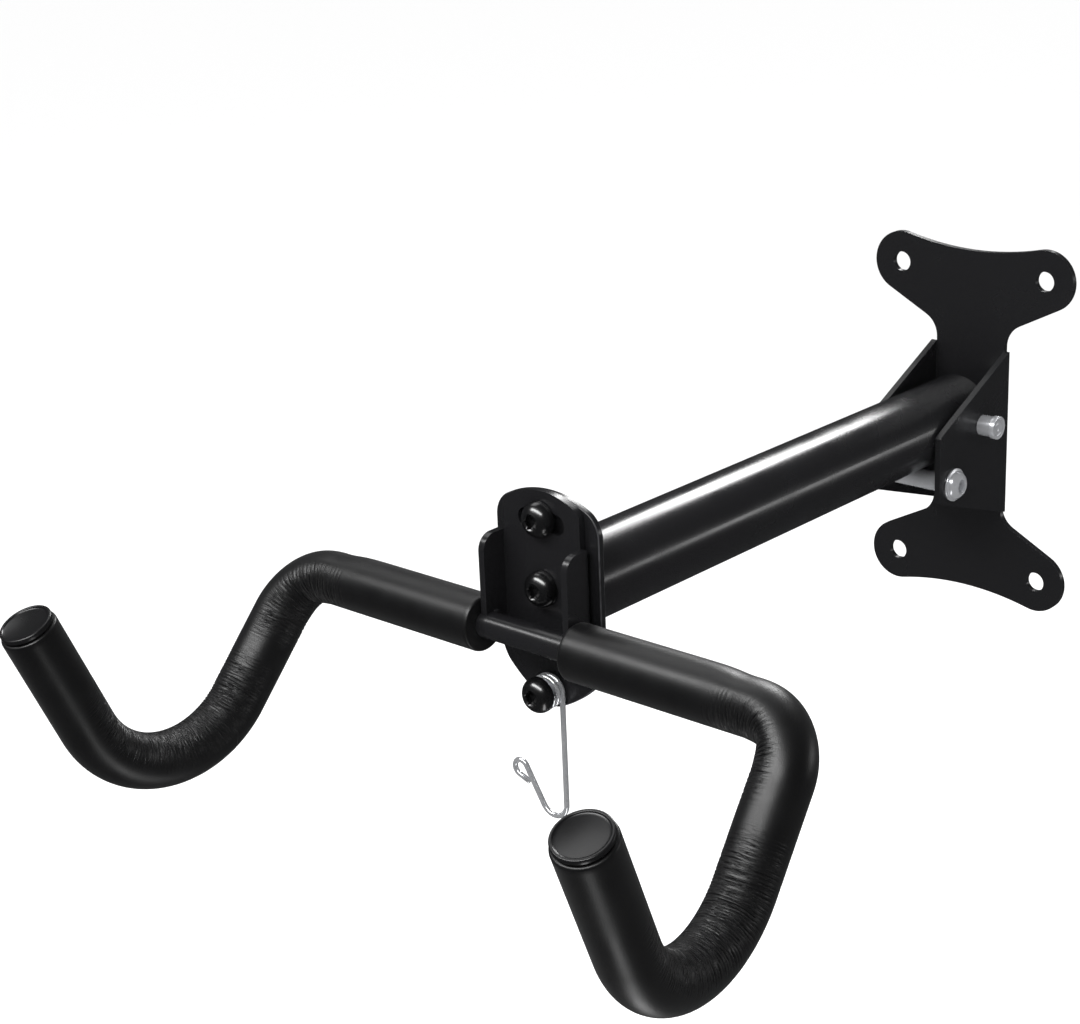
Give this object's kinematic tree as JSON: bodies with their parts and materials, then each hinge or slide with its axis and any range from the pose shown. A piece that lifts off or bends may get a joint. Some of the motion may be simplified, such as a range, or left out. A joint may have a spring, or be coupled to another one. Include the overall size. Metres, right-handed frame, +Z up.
{
  "type": "bicycle wall rack",
  "caption": "Folding horizontal bicycle wall rack: steel arm on a drilled wall plate, tilting clamp with foam-covered cradle hooks and a swinging wire hook.",
  "frame": {"origin": "centre of the four wall holes, on the back face of the wall plate, which lies on the wall plane Y = 0", "axes": "+Y into the wall, -Y along the arm into the room, +Z up, +X to the right of someone who faces the wall"},
  "size_m": [0.3236, 0.4835, 0.1872],
  "materials": {
    "black_powder_coat": "satin",
    "zinc_steel": "satin",
    "black_bolt": "gloss",
    "foam": "matte",
    "cap_plastic": "gloss",
    "bright_wire": "polished"
  },
  "bodies": {
    "wall_bracket_body": {"wall_bracket": "black_powder_coat", "pivot_pin": "zinc_steel", "pivot_washer": "zinc_steel", "pivot_retaining_ring": "zinc_steel", "support_bolt": "zinc_steel", "support_sleeve": "zinc_steel", "support_washer": "zinc_steel", "support_nut": "zinc_steel"},
    "arm": {"arm_tube": "black_powder_coat", "pivot_bush": "black_powder_coat", "end_plate": "black_powder_coat", "tilt_bolt_top": "black_bolt", "tilt_bolt_middle": "black_bolt", "wire_hook_bolt": "black_bolt", "nut_top": "zinc_steel", "nut_middle": "zinc_steel", "nut_low": "zinc_steel", "coil_spacer": "zinc_steel"},
    "hook_carrier": {"clamp_plate": "black_powder_coat", "hook_rod": "black_powder_coat", "foam_sleeve_left": "foam", "foam_sleeve_right": "foam", "end_cap_left": "cap_plastic", "end_cap_right": "cap_plastic"},
    "wire_hook_body": {"wire_hook": "bright_wire"}
  },
  "joints": [
    {"name": "arm_fold", "type": "hinge", "parent": "wall_bracket_body", "child": "arm", "pos_m": [0, -0.027, 0.0085], "axis": [-1, 0, 0], "range_deg": [0, 85]},
    {"name": "hook_tilt", "type": "hinge", "parent": "arm", "child": "hook_carrier", "pos_m": [0, -0.3233, 0.0115], "axis": [0, -1, 0], "range_deg": [-15, 15]},
    {"name": "wire_hook_swing", "type": "hinge", "parent": "arm", "child": "wire_hook_body", "pos_m": [0, -0.3255, -0.034], "axis": [0, -1, 0], "range_deg": [-60, 60]}
  ]
}
